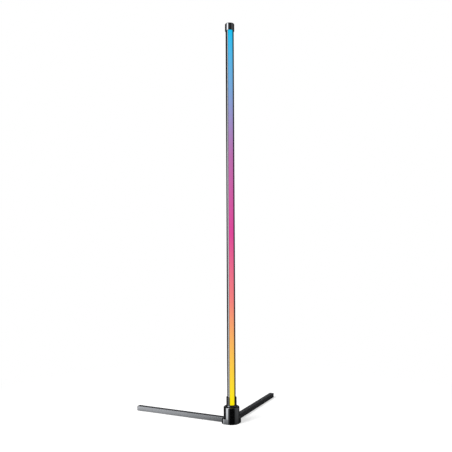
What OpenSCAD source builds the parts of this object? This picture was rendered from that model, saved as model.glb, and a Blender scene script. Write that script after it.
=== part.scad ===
// Corner floor lamp: a slim upright light bar that turns in a round hub, and
// two square legs that lie along the walls of a corner.
// Origin: the pole's axis at floor level. -Y is the front, +Z is up, and the
// legs run back to the left and to the right.

/* [Overall] */
// Height from the floor to the top of the cap
lamp_h = 1200; // [800:10:1600]
// Angle between the two legs
corner_angle = 90; // [84:1:110]
// How far the light is turned from the middle between the legs, in degrees
light_turn = -10; // [-90:1:90]

/* [Pole] */
// Outer diameter of the round extruded pole
pole_d = 25; // [24:0.5:27]
// Wall of the extrusion
pole_wall = 1.4; // [1:0.1:1.8]
// Distance from the axis forward to the seat of the light strip
seat_depth = 3; // [2:0.25:3.5]
// Thickness of the web that carries the light strip
web_t = 1.6; // [1.2:0.1:2]
// Length of the joiner inside each joint of the pole
joiner_len = 70; // [40:5:120]
// Diameter of the grub screws in the joiners
grub_d = 3; // [2.5:0.5:4]

/* [Diffuser] */
// Width of the lit window in the pole
window_w = 14.4; // [12:0.2:16]
// Wall of the diffuser behind the lips of the pole
diffuser_t = 1.3; // [1:0.1:1.8]
// How far the diffuser lies below the pole's round surface
diffuser_recess = 0.15; // [0.05:0.05:0.4]
// How far each hook of the diffuser reaches behind its lip
hook_reach = 1.4; // [1:0.1:1.8]

/* [Light strip] */
// Width of the flexible circuit
strip_w = 10; // [8:0.5:12]
// Thickness of the flexible circuit
strip_t = 0.3; // [0.2:0.05:0.5]
// Thickness of the adhesive tape behind the circuit
tape_t = 0.15; // [0.1:0.05:0.3]
// Side of one square light chip
chip_side = 5; // [3:0.5:5.5]
// Height of one light chip
chip_h = 1.6; // [1.2:0.1:2]
// Distance from one light chip to the next
chip_pitch = 16.6; // [14:0.2:34]
// Diameter of one lead of the strip, over its insulation
lead_d = 1.3; // [1:0.1:1.5]

/* [Cap] */
// Diameter of the top cap
cap_d = 28.6; // [28:0.2:31]
// Height of the top cap
cap_h = 23; // [20:1:30]
// Thickness of the cap's closed top
cap_roof_t = 6; // [5:0.5:8]
// Rounding of the cap's top edge
cap_edge_r = 4.5; // [2:0.5:5]
// Length of the cap's plug in the pole
cap_plug_len = 10; // [6:1:14]

/* [Sleeve] */
// Diameter of the slotted sleeve at the foot of the pole
sleeve_d = 30.6; // [30:0.2:32]
// Height of the sleeve
sleeve_h = 26; // [22:0.5:40]
// Thickness of the sleeve's floor, which is also the sill of its slot
sill_h = 4.1; // [3:0.1:6]
// Diameter of the rounded flange at the foot of the sleeve
flange_d = 32.4; // [31:0.2:34]
// Height of the flange
flange_h = 2.4; // [1:0.1:3]

/* [Swivel] */
// Diameter of the hollow spigot that turns in the hub
spigot_d = 12; // [11:0.5:14]
// Bore of the spigot for the leads
spigot_bore = 8; // [7:0.5:9]
// Width across the two flats at the foot of the spigot
flats_w = 10.4; // [9.6:0.2:11]
// Turn of the light to each side of the middle, in degrees
swivel_range = 90; // [45:5:100]
// Thickness of the glide ring between sleeve and hub
glide_t = 1; // [0.3:0.1:1.4]
// Thickness of the washer under the hub's roof
washer_t = 0.5; // [0.4:0.1:1]
// Thickness of the stop disc
stop_disc_t = 1.5; // [1:0.1:2]
// Thickness of the spring washer
spring_washer_t = 1; // [0.8:0.1:1.5]
// Height of the nut on the spigot
spigot_nut_h = 4.5; // [3.5:0.5:5]
// Width across the flats of the nut on the spigot
spigot_nut_w = 17; // [16:0.5:19]
// Diameter of the stop pin
stop_pin_d = 3; // [2.5:0.5:3.5]
// Distance of the stop pin from the axis
stop_pin_place = 12.6; // [12.4:0.1:13.5]

/* [Hub] */
// Diameter of the hub
hub_d = 47; // [46:0.5:54]
// Height of the hub's top above the floor
hub_top = 49; // [48.5:0.5:60]
// Wall of the hub
hub_wall = 2.5; // [2:0.1:3]
// Thickness of the hub's roof
roof_t = 4; // [3:0.5:5]
// Rounding of the hub's top edge
hub_edge_r = 3; // [0.5:0.1:3.5]
// How far the low block under the hub reaches past it towards each leg
block_reach = 1.5; // [1:0.1:4]
// How far the front of the block stands out past the hub's round wall
block_step = 0.2; // [0.1:0.1:1]
// Rounding of the block's upright corners
block_corner_r = 12; // [6:0.5:16]
// Thickness of the steel base plate
plate_t = 3; // [2:0.5:3.5]

/* [Legs] */
// Distance from the pole's axis to the tip of a leg
leg_reach = 329; // [200:5:450]
// Width of a leg
leg_w = 15; // [14:0.5:16]
// Height of a leg
leg_h = 14; // [13:0.5:15]
// Wall of a leg's tube
leg_wall = 1.5; // [1.2:0.1:1.8]
// Rounding of a leg's long edges
leg_corner_r = 0.9; // [0.4:0.1:1.4]
// Length of the steel tongue inside a leg's tube
tongue_grip = 35; // [25:5:60]
// Thickness of the end plug's flange
plug_flange_t = 1.5; // [1:0.5:3]
// Length of the end plug inside the tube
plug_len = 12; // [6:1:20]

/* [Feet] */
// Thickness of the rubber feet
foot_h = 1; // [0.8:0.1:2]
// How far the edge of the rubber foot under the hub lies inside the block's
foot_inset = 0.5; // [0.4:0.1:3]
// Length of the rubber pad under a leg's tip
pad_len = 24; // [12:2:40]
// Width of the rubber pad under a leg's tip
pad_w = 11; // [8:0.5:12]

/* [Electrics] */
// Height of the power inlet's axis above the floor
inlet_z = 30.6; // [29.5:0.1:31]
// Diameter of the inlet's threaded barrel
inlet_d = 8; // [7:0.5:9]
// Bore of the inlet's socket
inlet_bore = 5.6; // [5:0.1:6]
// Diameter of the contact pin in the socket
inlet_pin_d = 2.1; // [1.5:0.1:2.5]
// Thickness of the control board
board_t = 1.6; // [1:0.1:2]
// Diameter of the control board
board_d = 38; // [34:0.5:40]

/* [Hidden] */

$fn = 96;
eps = 0.5;          // how far a cutting shape runs past the face that it opens
fit_gap = 0.15;     // clearance of a piece that slides into another
run_gap = 0.06;     // radial clearance of the spigot in the hub's roof
screw_gap = 0.05;   // radial clearance of a screw in its hole
body_gap = 0.3;     // clearance between pieces that turn past each other

// pole and diffuser
pole_r = pole_d / 2;
bore_r = pole_r - pole_wall;
chamber_y = web_t - seat_depth;
hook_r = bore_r - fit_gap;
hook_w = window_w + 2 * hook_reach;
window_gap = 0.1;

// levels of the turning parts, from the hub's roof up
sleeve_z = hub_top + glide_t;
pole_z = sleeve_z + sill_h;
sleeve_top = sleeve_z + sleeve_h;
pole_top = lamp_h - cap_roof_t;
section_len = floor((pole_top - pole_z) / 3);
section_levels = [pole_z, pole_z + section_len, pole_z + 2 * section_len, pole_top];
sleeve_bore_r = pole_r + fit_gap;

// levels of the swivel, from the hub's roof down
roof_z = hub_top - roof_t;
disc_top = roof_z - washer_t;
disc_z = disc_top - stop_disc_t;
spring_z = disc_z - spring_washer_t;
nut_z = spring_z - spigot_nut_h;
spigot_z = nut_z - 1.2;
ring_r = spigot_d / 2 + fit_gap;
washer_r = stop_pin_place - stop_pin_d / 2 - 1;
spring_washer_r = 8.8;
disc_r = stop_pin_place + stop_pin_d / 2 + 2;
stop_pin_grip = 2.5;

// base
base_z = foot_h;
hub_r = hub_d / 2;
cavity_r = hub_r - hub_wall;
block_top = base_z + leg_h;
plate_top = base_z + plate_t;
plate_r = cavity_r + 1;
leg_angles = [90 + corner_angle / 2, 90 - corner_angle / 2];
leg_start = hub_r + block_reach;
block_front_r = hub_r + block_step;
block_flat_in = 0.03;   // flat sides lie this far inside the round front, so that they cut it
tongue_w = leg_w - 2 * leg_wall - 2 * fit_gap;
tongue_top = block_top - leg_wall - fit_gap;
tongue_start = tongue_w / 2 / tan(corner_angle / 2) + 2.5;
bolt_place = (tongue_start + cavity_r) / 2;
bolt_d = 5;
tongue_screw_d = 4;
tongue_screw_place = leg_start + tongue_grip / 2;
boss_r = 3.6;
plate_screw_d = 3;
plate_screw_place = cavity_r - boss_r + 0.4;
plate_screw_angles = [-150, -30, 90];
boss_top = block_top - 1;

// control board and its plug
board_z = block_top + 1.6;
board_top = board_z + board_t;
board_screw_d = 2.5;
board_screw_place = board_d / 2 - 2.6;
board_screw_angles = [-90, 30, 150];
board_boss_h = 8;
header_size = [8.4, 5, 4];
plug_size = [7.6, 4.4, 4.6];
header_top = board_top + header_size[2];
plug_top = header_top + plug_size[2];
lead_split_z = (plug_top + spigot_z) / 2;
capacitor_d = 6.3;
capacitor_h = 6.5;
board_lead_y = 10;

// power inlet, along Y through the back of the hub
inlet_face_y = hub_r - 0.9;
inlet_pad_y = cavity_r - 1.6;
inlet_nut_t = 2;
inlet_nut_w = inlet_d + 3;
inlet_flange_r = inlet_d / 2 + 1.5;
inlet_flange_t = 1.5;
inlet_barrel_end = inlet_pad_y - inlet_nut_t - 4;
inlet_body_len = 3.5;
inlet_body_w = 9;
inlet_tab_len = 3;
inlet_tab_x = 2.2;

// light strip, measured forward from its seat
strip_y = -seat_depth - tape_t - strip_t;
strip_z = pole_z + 3;
strip_top = pole_top - cap_plug_len / 2;
chip_margin = 7;
chip_count = floor((strip_top - strip_z - 2 * chip_margin) / chip_pitch) + 1;
chip_well_d = chip_side * 0.72;
chip_well_depth = 0.4;
driver_size = [4.8, 1.5, 3.9];
resistor_size = [1.6, 0.5, 0.8];
lead_places = [-1.6, 0, 1.6];
lead_y = strip_y - lead_d / 2;

// shared shapes ---------------------------------------------------------------

module turned() {
    rotate([0, 0, light_turn]) children();
}

module at_leg(angle) {
    rotate([0, 0, angle]) children();
}

// disc that stands on z = 0 with its top edge rounded
module edged_disc(r, h, edge_r) {
    rotate_extrude() {
        square([r - edge_r, h]);
        square([r, h - edge_r]);
        translate([r - edge_r, h - edge_r]) circle(edge_r);
    }
}

module ring(outer_r, inner_r, h) {
    difference() {
        cylinder(r = outer_r, h = h);
        translate([0, 0, -eps]) cylinder(r = inner_r, h = h + 2 * eps);
    }
}

module hex_ring(across, hole_r, h) {
    difference() {
        cylinder(d = across / cos(30), h = h, $fn = 6);
        translate([0, 0, -eps]) cylinder(r = hole_r, h = h + 2 * eps);
    }
}

// part of a disc that lies behind the line y = back_of
module moon(r, back_of) {
    intersection() {
        circle(r);
        translate([-r - 1, back_of]) square([2 * r + 2, r - back_of + 1]);
    }
}

// rectangle centred on its width and standing on y = 0, with rounded corners
module rounded_bar(w, h, corner_r) {
    translate([corner_r - w / 2, 0]) square([w - 2 * corner_r, h]);
    translate([-w / 2, corner_r]) square([w, h - 2 * corner_r]);
    for (x = [corner_r - w / 2, w / 2 - corner_r], y = [corner_r, h - corner_r])
        translate([x, y]) circle(corner_r);
}

// countersunk screw that stands head down, with its head's face on z = 0
module sunk_screw(d, len) {
    head_h = d * 0.42;
    difference() {
        union() {
            cylinder(r1 = d * 0.92, r2 = d / 2, h = head_h);
            cylinder(d = d, h = len);
        }
        translate([0, 0, -eps]) cylinder(d = d * 0.55, h = eps + head_h * 0.8, $fn = 6);
    }
}

module sunk_hole(d, len) {
    head_h = d * 0.42;
    translate([0, 0, -eps]) cylinder(r = d * 0.92 + screw_gap, h = eps);
    cylinder(r1 = d * 0.92 + screw_gap, r2 = d / 2 + screw_gap, h = head_h);
    cylinder(r = d / 2 + screw_gap, h = len);
}

// grub screw along Y with its socket end at y = 0 and its point inward
module grub_screw(d, len) {
    rotate([90, 0, 0]) difference() {
        cylinder(d = d, h = len);
        translate([0, 0, -eps]) cylinder(d = d * 0.55, h = eps + d * 0.5, $fn = 6);
    }
}

module hole_along_y(r, from_y, to_y) {
    translate([0, to_y, 0]) rotate([90, 0, 0]) cylinder(r = r, h = to_y - from_y);
}

function unit(v) = v / norm(v);
function on_curve(a, b, c, d, t) =
    pow(1 - t, 3) * a + 3 * t * pow(1 - t, 2) * b + 3 * t * t * (1 - t) * c + pow(t, 3) * d;

// round lead along a list of points that rise or fall, with flat level ends
module lead(path, r, sides = 10) {
    last = len(path) - 1;
    function heading(i) = i == 0 || i == last ? [0, 0, sign(path[last][2] - path[0][2])]
        : unit(path[i + 1] - path[i - 1]);
    function across(i) = unit(cross([0, 1, 0], heading(i)));
    points = [for (i = [0 : last], k = [0 : sides - 1])
        path[i] + r * (cos(360 * k / sides) * across(i)
            + sin(360 * k / sides) * cross(heading(i), across(i)))];
    walls = [for (i = [0 : last - 1], k = [0 : sides - 1])
        let (next = (k + 1) % sides)
        [i * sides + k, (i + 1) * sides + k, (i + 1) * sides + next, i * sides + next]];
    foot = [for (k = [0 : sides - 1]) k];
    head = [for (k = [0 : sides - 1]) last * sides + sides - 1 - k];
    polyhedron(points, concat([foot], walls, [head]));
}

// pole ------------------------------------------------------------------------

module pole_outline() {
    difference() {
        circle(pole_r);
        moon(bore_r, chamber_y);
        mirror([0, 1]) moon(bore_r, seat_depth);
        translate([-window_w / 2 - window_gap, -pole_r - 1])
            square([window_w + 2 * window_gap, pole_r - seat_depth]);
    }
}

module pole_section(index) {
    color("#1b1c1e") turned() difference() {
        translate([0, 0, section_levels[index]])
            linear_extrude(section_levels[index + 1] - section_levels[index]) pole_outline();
        for (z = grub_heights) translate([0, 0, z])
            hole_along_y(grub_d / 2 + screw_gap, bore_r - 2, pole_r + 1);
        for (z = sleeve_screw_heights) translate([0, 0, z])
            hole_along_y(grub_d / 2 + screw_gap, bore_r - 2, pole_r + 1);
    }
}

module pole_lower() {
    pole_section(0);
}

module pole_middle() {
    pole_section(1);
}

module pole_upper() {
    pole_section(2);
}

grub_heights = [for (joint = [1, 2], side = [-1, 1])
    section_levels[joint] + side * joiner_len * 0.3];
sleeve_screw_heights = [pole_z + 6, sleeve_top - 5];
sleeve_screw_len = 8;
grub_len = 6;

// block that fills the rear chamber of the pole, with holes for its screws
module chamber_block(z, h, screw_heights, screw_end) {
    color("#a9abad") turned() difference() {
        translate([0, 0, z]) linear_extrude(h) moon(bore_r - fit_gap, chamber_y + fit_gap);
        for (at = screw_heights) translate([0, 0, at])
            hole_along_y(grub_d / 2 + screw_gap, screw_end - screw_gap, pole_r);
    }
}

module joiner(joint) {
    chamber_block(section_levels[joint] - joiner_len / 2, joiner_len, grub_heights,
        pole_r - grub_len);
}

module joiner_upper() {
    joiner(2);
}

module joiner_lower() {
    joiner(1);
}

module foot_insert() {
    chamber_block(pole_z, sleeve_h - sill_h, sleeve_screw_heights,
        sleeve_d / 2 - sleeve_screw_len);
}

module joiner_screws() {
    color("#2a2b2d") turned() for (z = grub_heights)
        translate([0, pole_r - screw_gap, z]) grub_screw(grub_d, grub_len - screw_gap);
}

module sleeve_screws() {
    color("#2a2b2d") turned() for (z = sleeve_screw_heights)
        translate([0, sleeve_d / 2 - screw_gap, z])
            grub_screw(grub_d, sleeve_screw_len - screw_gap);
}

module diffuser_outline() {
    difference() {
        union() {
            intersection() {
                circle(pole_r - diffuser_recess);
                translate([-window_w / 2, -pole_r]) square([window_w, pole_r - seat_depth - 1]);
            }
            intersection() {
                circle(hook_r);
                translate([-hook_w / 2, -pole_r]) square([hook_w, pole_r - seat_depth - 1]);
            }
        }
        circle(hook_r - diffuser_t);
    }
}

module diffuser() {
    color("#d54f9e") turned() translate([0, 0, pole_z]) linear_extrude(pole_top - pole_z)
        diffuser_outline();
}

module top_cap() {
    color("#141416") turned() translate([0, 0, lamp_h - cap_h]) {
        difference() {
            edged_disc(cap_d / 2, cap_h, cap_edge_r);
            translate([0, 0, -eps])
                cylinder(r = sleeve_bore_r, h = cap_h - cap_roof_t + eps);
        }
        translate([0, 0, cap_h - cap_roof_t - cap_plug_len]) linear_extrude(cap_plug_len + eps)
            moon(bore_r - fit_gap, chamber_y + fit_gap);
    }
}

// light strip -----------------------------------------------------------------

// box centred on x and z whose back lies on the plane y = back_y
module strip_box(size, x, back_y, z) {
    translate([x - size[0] / 2, back_y - size[1], z - size[2] / 2]) cube(size);
}

function chip_z(i) = strip_z + chip_margin + i * chip_pitch;

module strip_tape() {
    color("#c9a04a") turned() translate([-strip_w / 2, -seat_depth - tape_t, strip_z])
        cube([strip_w, tape_t, strip_top - strip_z]);
}

module led_strip() {
    color("#e8e8e4") turned() translate([-strip_w / 2, strip_y, strip_z])
        cube([strip_w, strip_t, strip_top - strip_z]);
}

module led_packages() {
    color("#f4f1dc") turned() for (i = [0 : chip_count - 1]) difference() {
        strip_box([chip_side, chip_h, chip_side], 0, strip_y, chip_z(i));
        translate([0, 0, chip_z(i)])
            hole_along_y(chip_well_d / 2, strip_y - chip_h - eps, strip_y - chip_h + chip_well_depth);
    }
}

module strip_drivers() {
    color("#1d1d1f") turned() for (i = [1 : 3 : chip_count - 2])
        strip_box(driver_size, 0, strip_y, chip_z(i) + chip_pitch / 2);
}

module strip_resistors() {
    color("#2c2c30") turned() for (i = [0 : chip_count - 2], side = [-1, 1])
        strip_box(resistor_size, side * (strip_w / 2 - 1.4), strip_y, chip_z(i) + chip_pitch / 2);
}

// the leads run up the spigot and forward through the sleeve's floor
module strip_leads() {
    steps = 12;
    start_z = lead_split_z + body_gap / 2;
    bend_z = roof_z - 1;
    bent_z = pole_z - body_gap;
    mid_z = sleeve_z + 1;
    color("#b02a25") turned() for (x = lead_places)
        lead(concat([[x, 0, start_z]],
            [for (i = [0 : steps]) on_curve([x, 0, bend_z], [x, 0, mid_z], [x, lead_y, mid_z],
                [x, lead_y, bent_z], i / steps)],
            [[x, lead_y, strip_z + 2]]), lead_d / 2);
}

// sleeve and swivel -----------------------------------------------------------

module spigot_outline(flat) {
    intersection() {
        circle(d = spigot_d);
        square([flat ? flats_w : spigot_d + 1, spigot_d + 1], center = true);
    }
}

module sleeve() {
    floor_window = [2 * lead_places[2] + lead_d + 1, -lead_y + lead_d / 2 + 0.4];
    color("#17171a") turned() difference() {
        union() {
            translate([0, 0, sleeve_z]) edged_disc(flange_d / 2, flange_h, flange_h / 2);
            translate([0, 0, sleeve_z]) edged_disc(sleeve_d / 2, sleeve_h, 0.5);
            translate([0, 0, disc_top]) linear_extrude(sleeve_z + eps - disc_top)
                spigot_outline(false);
            translate([0, 0, spigot_z]) linear_extrude(disc_top - spigot_z) spigot_outline(true);
        }
        translate([0, 0, pole_z]) cylinder(r = sleeve_bore_r, h = sleeve_h);
        translate([0, 0, spigot_z - eps]) cylinder(d = spigot_bore, h = sleeve_z - spigot_z + 1);
        translate([-floor_window[0] / 2, -floor_window[1], sleeve_z])
            cube([floor_window[0], floor_window[1] + 1, sill_h + eps]);
        translate([-window_w / 2 - window_gap, -sleeve_d, pole_z])
            cube([window_w + 2 * window_gap, sleeve_d - seat_depth, sleeve_h]);
        for (z = sleeve_screw_heights) translate([0, 0, z])
            hole_along_y(grub_d / 2 + screw_gap, pole_r - 1, sleeve_d / 2 + 1);
    }
}

// disc that turns with the spigot, with a curved slot that the stop pin rides in
module stop_disc() {
    slot_r = stop_pin_d / 2 + body_gap;
    color("#8d9094") turned() translate([0, 0, disc_z]) difference() {
        cylinder(r = disc_r, h = stop_disc_t);
        translate([0, 0, -eps]) intersection() {
            cylinder(r = spigot_d / 2 + screw_gap, h = stop_disc_t + 2 * eps);
            translate([-flats_w / 2 - screw_gap, -spigot_d, 0])
                cube([flats_w + 2 * screw_gap, 2 * spigot_d, stop_disc_t + 2 * eps]);
        }
        translate([0, 0, -eps]) rotate([0, 0, 90 - swivel_range])
            rotate_extrude(angle = 2 * swivel_range)
                translate([stop_pin_place - slot_r, 0]) square([2 * slot_r, stop_disc_t + 2 * eps]);
        for (end = [90 - swivel_range, 90 + swivel_range]) rotate([0, 0, end])
            translate([stop_pin_place, 0, -eps]) cylinder(r = slot_r, h = stop_disc_t + 2 * eps);
    }
}

module spring_washer() {
    split_w = 1.2;
    color("#b4b7ba") turned() translate([0, 0, spring_z]) difference() {
        ring(spring_washer_r, ring_r, spring_washer_t);
        translate([-split_w / 2, -spring_washer_r - 1, -eps])
            cube([split_w, spring_washer_r, spring_washer_t + 2 * eps]);
    }
}

module spigot_nut() {
    color("#b4b7ba") turned() translate([0, 0, nut_z])
        hex_ring(spigot_nut_w, spigot_d / 2 + screw_gap, spigot_nut_h);
}

module glide_ring() {
    color("#18181a") translate([0, 0, hub_top]) ring(sleeve_d / 2, ring_r, glide_t);
}

module roof_washer() {
    color("#18181a") translate([0, 0, disc_top]) ring(washer_r, ring_r, washer_t);
}

module stop_pin() {
    color("#c3c6c9") translate([0, stop_pin_place, disc_z + body_gap])
        cylinder(d = stop_pin_d, h = roof_z + stop_pin_grip - disc_z - body_gap);
}

// base ------------------------------------------------------------------------

// column with a web that runs out into the hub's wall
module wall_boss(place, angle, from_z, h) {
    rotate([0, 0, angle]) translate([place, 0, from_z]) {
        cylinder(r = boss_r, h = h);
        translate([0, -boss_r, 0]) cube([hub_r - place, 2 * boss_r, h]);
    }
}

// rectangle from the Y axis to x = reach, with its two far corners rounded
module block_side(low, high, reach, corner_r) {
    translate([0, low]) square([reach - corner_r, high - low]);
    translate([0, low + corner_r]) square([reach, high - low - 2 * corner_r]);
    for (y = [low + corner_r, high - corner_r])
        translate([reach - corner_r, y]) circle(corner_r);
}

// outline of the block with its edge drawn in: round in front, with a flat side for each leg
module block_outline(inset) {
    flat = block_front_r - block_flat_in - inset;
    back = leg_start - inset;
    corner_r = block_corner_r - inset;
    circle(block_front_r - inset);
    rotate([0, 0, leg_angles[0]]) block_side(-back, flat, back, corner_r);
    rotate([0, 0, leg_angles[1]]) block_side(-flat, back, back, corner_r);
}

// round hub on a low block that the legs butt against
module hub_outside() {
    translate([0, 0, base_z]) edged_disc(hub_r, hub_top - base_z, hub_edge_r);
    translate([0, 0, base_z]) linear_extrude(block_top - base_z) block_outline(0);
}

module hub_inside() {
    difference() {
        translate([0, 0, base_z - eps]) cylinder(r = cavity_r, h = roof_z - base_z + eps);
        for (angle = plate_screw_angles)
            wall_boss(plate_screw_place, angle, plate_top, boss_top - plate_top);
        for (angle = board_screw_angles)
            wall_boss(board_screw_place, angle, board_top, board_boss_h);
        translate([0, 0, inlet_z]) hole_along_y(inlet_flange_r + 2, inlet_pad_y, hub_r);
    }
    translate([0, 0, base_z - eps]) cylinder(r = plate_r + fit_gap, h = plate_t + eps);
}

// way for a leg's tongue through the hub's wall and the block
module tongue_way() {
    translate([cavity_r - 2, -tongue_w / 2 - fit_gap, plate_top - eps])
        cube([leg_start - cavity_r + 3, tongue_w + 2 * fit_gap,
            tongue_top + fit_gap - plate_top + eps]);
}

module hub_shell() {
    color("#101012") difference() {
        hub_outside();
        hub_inside();
        for (angle = leg_angles) at_leg(angle) tongue_way();
        translate([0, 0, roof_z - eps]) cylinder(r = spigot_d / 2 + run_gap, h = roof_t + 2 * eps);
        translate([0, stop_pin_place, roof_z - eps])
            cylinder(r = stop_pin_d / 2, h = eps + stop_pin_grip);
        for (angle = plate_screw_angles) rotate([0, 0, angle])
            translate([plate_screw_place, 0, plate_top - eps])
                cylinder(r = plate_screw_d / 2 + screw_gap, h = boss_top - plate_top - 1);
        for (angle = board_screw_angles) rotate([0, 0, angle])
            translate([board_screw_place, 0, board_top - eps])
                cylinder(r = board_screw_d / 2 + screw_gap, h = board_boss_h - 1);
        translate([0, 0, inlet_z]) {
            hole_along_y(inlet_flange_r + fit_gap, inlet_face_y, hub_r + 2);
            hole_along_y(inlet_d / 2 + screw_gap, inlet_pad_y - 1, hub_r);
        }
    }
}

module base_plate() {
    color("#7e8184") difference() {
        translate([0, 0, base_z]) cylinder(r = plate_r, h = plate_t);
        for (angle = leg_angles) at_leg(angle) translate([bolt_place, 0, base_z])
            sunk_hole(bolt_d, plate_t + eps);
        for (angle = plate_screw_angles) rotate([0, 0, angle])
            translate([plate_screw_place, 0, base_z]) sunk_hole(plate_screw_d, plate_t + eps);
    }
}

module plate_screws() {
    color("#b4b7ba") for (angle = plate_screw_angles) rotate([0, 0, angle])
        translate([plate_screw_place, 0, base_z])
            sunk_screw(plate_screw_d, boss_top - base_z - 3);
}

module base_foot() {
    color("#26262a") linear_extrude(foot_h) block_outline(foot_inset);
}

module leg_tube() {
    tube_len = leg_reach - plug_flange_t - leg_start;
    difference() {
        translate([leg_start, 0, base_z]) rotate([90, 0, 90]) linear_extrude(tube_len)
            difference() {
                rounded_bar(leg_w, leg_h, leg_corner_r);
                translate([leg_wall - leg_w / 2, leg_wall])
                    square([leg_w - 2 * leg_wall, leg_h - 2 * leg_wall]);
            }
        translate([tongue_screw_place, 0, base_z]) sunk_hole(tongue_screw_d, leg_wall + 1);
    }
}

module left_leg() {
    color("#2b2c2f") at_leg(leg_angles[0]) leg_tube();
}

module right_leg() {
    color("#2b2c2f") at_leg(leg_angles[1]) leg_tube();
}

// steel bar that joins a leg to the base plate
module tongue() {
    inner_z = base_z + leg_wall + fit_gap;
    difference() {
        union() {
            translate([tongue_start, -tongue_w / 2, plate_top])
                cube([leg_start + 1 - tongue_start, tongue_w, tongue_top - plate_top]);
            translate([leg_start, -tongue_w / 2, inner_z])
                cube([tongue_grip, tongue_w, tongue_top - inner_z]);
        }
        translate([bolt_place, 0, plate_top - eps])
            cylinder(r = bolt_d / 2 + screw_gap, h = tongue_top - plate_top + 2 * eps);
        translate([tongue_screw_place, 0, inner_z - eps])
            cylinder(r = tongue_screw_d / 2 + screw_gap, h = tongue_top - inner_z + 2 * eps);
    }
}

module left_tongue() {
    color("#8d9094") at_leg(leg_angles[0]) tongue();
}

module right_tongue() {
    color("#8d9094") at_leg(leg_angles[1]) tongue();
}

module leg_bolts() {
    color("#b4b7ba") for (angle = leg_angles) at_leg(angle)
        translate([bolt_place, 0, base_z]) sunk_screw(bolt_d, tongue_top - base_z - 1);
}

module tongue_screws() {
    color("#b4b7ba") for (angle = leg_angles) at_leg(angle)
        translate([tongue_screw_place, 0, base_z]) sunk_screw(tongue_screw_d, leg_h - leg_wall - 2);
}

module end_plug() {
    inner_w = leg_w - 2 * leg_wall - 2 * fit_gap;
    inner_h = leg_h - 2 * leg_wall - 2 * fit_gap;
    translate([leg_reach - plug_flange_t, 0, base_z]) rotate([90, 0, 90])
        linear_extrude(plug_flange_t) rounded_bar(leg_w, leg_h, leg_corner_r);
    translate([leg_reach - plug_flange_t - plug_len, -inner_w / 2, base_z + leg_wall + fit_gap])
        cube([plug_len + plug_flange_t / 2, inner_w, inner_h]);
}

module left_end_plug() {
    color("#1c1c1f") at_leg(leg_angles[0]) end_plug();
}

module right_end_plug() {
    color("#1c1c1f") at_leg(leg_angles[1]) end_plug();
}

module leg_pad() {
    pad_inset = 6;
    translate([leg_reach - pad_inset - pad_len, 0, 0]) linear_extrude(foot_h)
        translate([pad_len / 2, -pad_w / 2]) rounded_bar(pad_len, pad_w, 2);
}

module left_pad() {
    color("#26262a") at_leg(leg_angles[0]) leg_pad();
}

module right_pad() {
    color("#26262a") at_leg(leg_angles[1]) leg_pad();
}

// electrics -------------------------------------------------------------------

module power_inlet() {
    socket_depth = 9;
    outer_y = inlet_face_y + inlet_flange_t;
    color("#1a1a1c") translate([0, 0, inlet_z]) {
        difference() {
            union() {
                hole_along_y(inlet_flange_r, inlet_face_y, outer_y);
                hole_along_y(inlet_d / 2, inlet_barrel_end, inlet_face_y + eps);
            }
            hole_along_y(inlet_bore / 2, outer_y - socket_depth, outer_y + eps);
        }
        hole_along_y(inlet_pin_d / 2, outer_y - socket_depth - eps, outer_y - 1);
        translate([-inlet_body_w / 2, inlet_barrel_end - inlet_body_len, -inlet_d / 2])
            cube([inlet_body_w, inlet_body_len + eps, inlet_d]);
        for (side = [-1, 1])
            translate([side * inlet_tab_x - 1, inlet_barrel_end - inlet_body_len - inlet_tab_len, -0.4])
                cube([2, inlet_tab_len + eps, 0.8]);
    }
}

module inlet_nut() {
    color("#b4b7ba") translate([0, inlet_pad_y, inlet_z]) rotate([90, 0, 0])
        hex_ring(inlet_nut_w, inlet_d / 2 + screw_gap, inlet_nut_t);
}

module inlet_leads() {
    steps = 10;
    tab_y = inlet_barrel_end - inlet_body_len - inlet_tab_len / 2;
    tab_z = inlet_z - 0.4;
    color("#222226") for (side = [-1, 1]) {
        x = side * inlet_tab_x;
        lead([for (i = [0 : steps]) on_curve([x, board_lead_y, board_top], [x, board_lead_y, board_top + 5],
            [x, tab_y, tab_z - 5], [x, tab_y, tab_z], i / steps)], lead_d / 2);
    }
}

module control_board() {
    color("#1f5a34") translate([0, 0, board_z]) difference() {
        cylinder(d = board_d, h = board_t);
        for (angle = board_screw_angles) rotate([0, 0, angle])
            translate([board_screw_place, 0, -eps])
                cylinder(r = board_screw_d / 2 + screw_gap, h = board_t + 2 * eps);
    }
}

module board_screws() {
    head_r = board_screw_d * 0.85;
    head_h = 1.2;
    color("#b4b7ba") for (angle = board_screw_angles) rotate([0, 0, angle])
        translate([board_screw_place, 0, board_z - head_h]) difference() {
            union() {
                cylinder(r = head_r, h = head_h);
                cylinder(d = board_screw_d, h = head_h + board_t + board_boss_h - 2);
            }
            translate([0, 0, -eps]) cylinder(d = board_screw_d * 0.5, h = eps + 0.7, $fn = 6);
        }
}

module board_box(size, x, y) {
    translate([x - size[0] / 2, y - size[1] / 2, board_top]) cube(size);
}

module board_chips() {
    color("#19191b") {
        board_box([7, 7, 1.4], -8.5, -5.5);
        board_box([4.8, 3.9, 1.5], -9, 4);
        board_box([3, 1.6, 1.1], 2, -7.5);
        board_box([3.2, 1.6, 0.8], 9, 4.5);
    }
}

module board_capacitor() {
    color("#3a3d44") translate([9, -6, board_top]) edged_disc(capacitor_d / 2, capacitor_h, 0.5);
}

module board_header() {
    color("#efece0") board_box(header_size, 0, 0);
}

module lead_plug() {
    color("#f6f3e8") translate([-plug_size[0] / 2, -plug_size[1] / 2, header_top]) cube(plug_size);
}

// lower half of the twisting leads, which stays with the plug
module plug_leads() {
    color("#b02a25") for (x = lead_places) translate([x, 0, plug_top])
        cylinder(d = lead_d, h = lead_split_z - body_gap / 2 - plug_top);
}

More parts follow.
